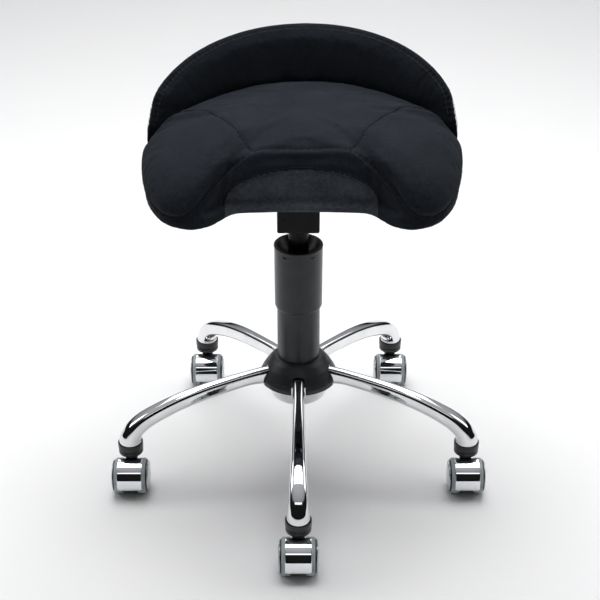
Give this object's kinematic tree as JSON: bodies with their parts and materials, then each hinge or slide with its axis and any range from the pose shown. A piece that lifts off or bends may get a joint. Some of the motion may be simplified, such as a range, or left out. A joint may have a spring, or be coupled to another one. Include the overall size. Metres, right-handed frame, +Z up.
{
  "type": "drum throne",
  "caption": "Saddle-shaped drum throne with a low back ridge, gas lift column, telescopic cover and a polished castor base.",
  "frame": {"origin": "on the column axis at floor level", "axes": "+Z up along the column, -Y towards the front of the seat, +X to the right of somebody who looks at the seat from its front"},
  "size_m": [0.529, 0.5153, 0.602],
  "materials": {
    "polished_aluminium": "mirror polished casting",
    "hub_plastic": "fine grained moulding",
    "black_steel": "semi gloss powder coat",
    "bush_plastic": "plain moulding",
    "bare_steel": "bright zinc",
    "sleeve_plastic": "satin moulding",
    "cup_plastic": "satin moulding",
    "stop_rubber": "plain",
    "valve_plastic": "plain moulding",
    "plywood": "unfinished",
    "seat_fabric": "close woven upholstery with stitched seams",
    "castor_plastic": "satin moulding",
    "castor_chrome": "bright plated",
    "wheel_grey": "smooth soft tread",
    "cap_silver": "satin silver"
  },
  "bodies": {
    "base": {"star_base": "polished_aluminium", "hub_cover": "hub_plastic", "column_tube": "black_steel", "guide_bush": "bush_plastic", "thrust_bearing": "bare_steel", "lower_sleeve": "sleeve_plastic", "castor_stems": "bare_steel"},
    "spindle": {"piston_rod": "bare_steel", "retaining_clip": "bare_steel", "bump_stop": "stop_rubber"},
    "middle_cover": {"middle_sleeve": "sleeve_plastic"},
    "seat": {"gas_cylinder": "black_steel", "upper_sleeve": "sleeve_plastic", "sleeve_cap": "cup_plastic", "cone_socket": "black_steel", "mechanism_bracket": "black_steel", "lever_pin": "bare_steel", "mounting_bolts": "bare_steel", "tee_nuts": "bare_steel", "seat_pan": "plywood", "seat_cushion": "seat_fabric", "back_ridge": "seat_fabric"},
    "lever": {"lever_rod": "black_steel", "lever_grip": "cup_plastic"},
    "valve": {"valve_button": "valve_plastic"},
    "castor_front": {"castor_housing_front": "castor_plastic", "castor_hood_front": "castor_chrome", "castor_axle_front": "bare_steel"},
    "wheel_front_left": {"wheel_front_left": "wheel_grey", "wheel_cap_front_left": "cap_silver"},
    "wheel_front_right": {"wheel_front_right": "wheel_grey", "wheel_cap_front_right": "cap_silver"},
    "castor_right": {"castor_housing_right": "castor_plastic", "castor_hood_right": "castor_chrome", "castor_axle_right": "bare_steel"},
    "wheel_right_left": {"wheel_right_left": "wheel_grey", "wheel_cap_right_left": "cap_silver"},
    "wheel_right_right": {"wheel_right_right": "wheel_grey", "wheel_cap_right_right": "cap_silver"},
    "castor_back_right": {"castor_housing_back_right": "castor_plastic", "castor_hood_back_right": "castor_chrome", "castor_axle_back_right": "bare_steel"},
    "wheel_back_right_left": {"wheel_back_right_left": "wheel_grey", "wheel_cap_back_right_left": "cap_silver"},
    "wheel_back_right_right": {"wheel_back_right_right": "wheel_grey", "wheel_cap_back_right_right": "cap_silver"},
    "castor_back_left": {"castor_housing_back_left": "castor_plastic", "castor_hood_back_left": "castor_chrome", "castor_axle_back_left": "bare_steel"},
    "wheel_back_left_left": {"wheel_back_left_left": "wheel_grey", "wheel_cap_back_left_left": "cap_silver"},
    "wheel_back_left_right": {"wheel_back_left_right": "wheel_grey", "wheel_cap_back_left_right": "cap_silver"},
    "castor_left": {"castor_housing_left": "castor_plastic", "castor_hood_left": "castor_chrome", "castor_axle_left": "bare_steel"},
    "wheel_left_left": {"wheel_left_left": "wheel_grey", "wheel_cap_left_left": "cap_silver"},
    "wheel_left_right": {"wheel_left_right": "wheel_grey", "wheel_cap_left_right": "cap_silver"}
  },
  "joints": [
    {"name": "seat_swivel", "type": "hinge", "parent": "base", "child": "spindle", "pos_m": [0, 0, 0.117], "axis": [0, 0, 1], "continuous": true},
    {"name": "height_lift", "type": "slide", "parent": "spindle", "child": "seat", "axis": [0, 0, 1], "range_m": [-0.035, 0.085]},
    {"name": "middle_cover_slide", "type": "slide", "parent": "base", "child": "middle_cover", "axis": [0, 0, 1], "range_m": [-0.018, 0.043]},
    {"name": "release_lever", "type": "hinge", "parent": "seat", "child": "lever", "pos_m": [0.0195, 0, 0.436], "axis": [0, -1, 0], "range_deg": [0, 6], "stiffness_Nm_per_rad": 1, "springref_deg": -5.73},
    {"name": "valve_press", "type": "slide", "parent": "seat", "child": "valve", "axis": [0, 0, -1], "range_m": [0, 0.0025]},
    {"name": "castor_front_swivel", "type": "hinge", "parent": "base", "child": "castor_front", "pos_m": [0, -0.25, 0.069], "axis": [0, 0, 1], "continuous": true},
    {"name": "wheel_front_left_spin", "type": "hinge", "parent": "castor_front", "child": "wheel_front_left", "pos_m": [0, -0.267, 0.025], "axis": [1, 0, 0], "continuous": true},
    {"name": "wheel_front_right_spin", "type": "hinge", "parent": "castor_front", "child": "wheel_front_right", "pos_m": [0, -0.267, 0.025], "axis": [1, 0, 0], "continuous": true},
    {"name": "castor_right_swivel", "type": "hinge", "parent": "base", "child": "castor_right", "pos_m": [0.23776, -0.07725, 0.069], "axis": [0, 0, 1], "continuous": true},
    {"name": "wheel_right_left_spin", "type": "hinge", "parent": "castor_right", "child": "wheel_right_left", "pos_m": [0.23776, -0.09425, 0.025], "axis": [1, 0, 0], "continuous": true},
    {"name": "wheel_right_right_spin", "type": "hinge", "parent": "castor_right", "child": "wheel_right_right", "pos_m": [0.23776, -0.09425, 0.025], "axis": [1, 0, 0], "continuous": true},
    {"name": "castor_back_right_swivel", "type": "hinge", "parent": "base", "child": "castor_back_right", "pos_m": [0.14695, 0.20225, 0.069], "axis": [0, 0, 1], "continuous": true},
    {"name": "wheel_back_right_left_spin", "type": "hinge", "parent": "castor_back_right", "child": "wheel_back_right_left", "pos_m": [0.14695, 0.18525, 0.025], "axis": [1, 0, 0], "continuous": true},
    {"name": "wheel_back_right_right_spin", "type": "hinge", "parent": "castor_back_right", "child": "wheel_back_right_right", "pos_m": [0.14695, 0.18525, 0.025], "axis": [1, 0, 0], "continuous": true},
    {"name": "castor_back_left_swivel", "type": "hinge", "parent": "base", "child": "castor_back_left", "pos_m": [-0.14695, 0.20225, 0.069], "axis": [0, 0, 1], "continuous": true},
    {"name": "wheel_back_left_left_spin", "type": "hinge", "parent": "castor_back_left", "child": "wheel_back_left_left", "pos_m": [-0.14695, 0.18525, 0.025], "axis": [1, 0, 0], "continuous": true},
    {"name": "wheel_back_left_right_spin", "type": "hinge", "parent": "castor_back_left", "child": "wheel_back_left_right", "pos_m": [-0.14695, 0.18525, 0.025], "axis": [1, 0, 0], "continuous": true},
    {"name": "castor_left_swivel", "type": "hinge", "parent": "base", "child": "castor_left", "pos_m": [-0.23776, -0.07725, 0.069], "axis": [0, 0, 1], "continuous": true},
    {"name": "wheel_left_left_spin", "type": "hinge", "parent": "castor_left", "child": "wheel_left_left", "pos_m": [-0.23776, -0.09425, 0.025], "axis": [1, 0, 0], "continuous": true},
    {"name": "wheel_left_right_spin", "type": "hinge", "parent": "castor_left", "child": "wheel_left_right", "pos_m": [-0.23776, -0.09425, 0.025], "axis": [1, 0, 0], "continuous": true}
  ],
  "couplings": [
    {"joint": "middle_cover_slide", "follows": "height_lift", "ratio": 0.5},
    {"joint": "valve_press", "follows": "release_lever", "m_per_rad": 0.0195}
  ]
}
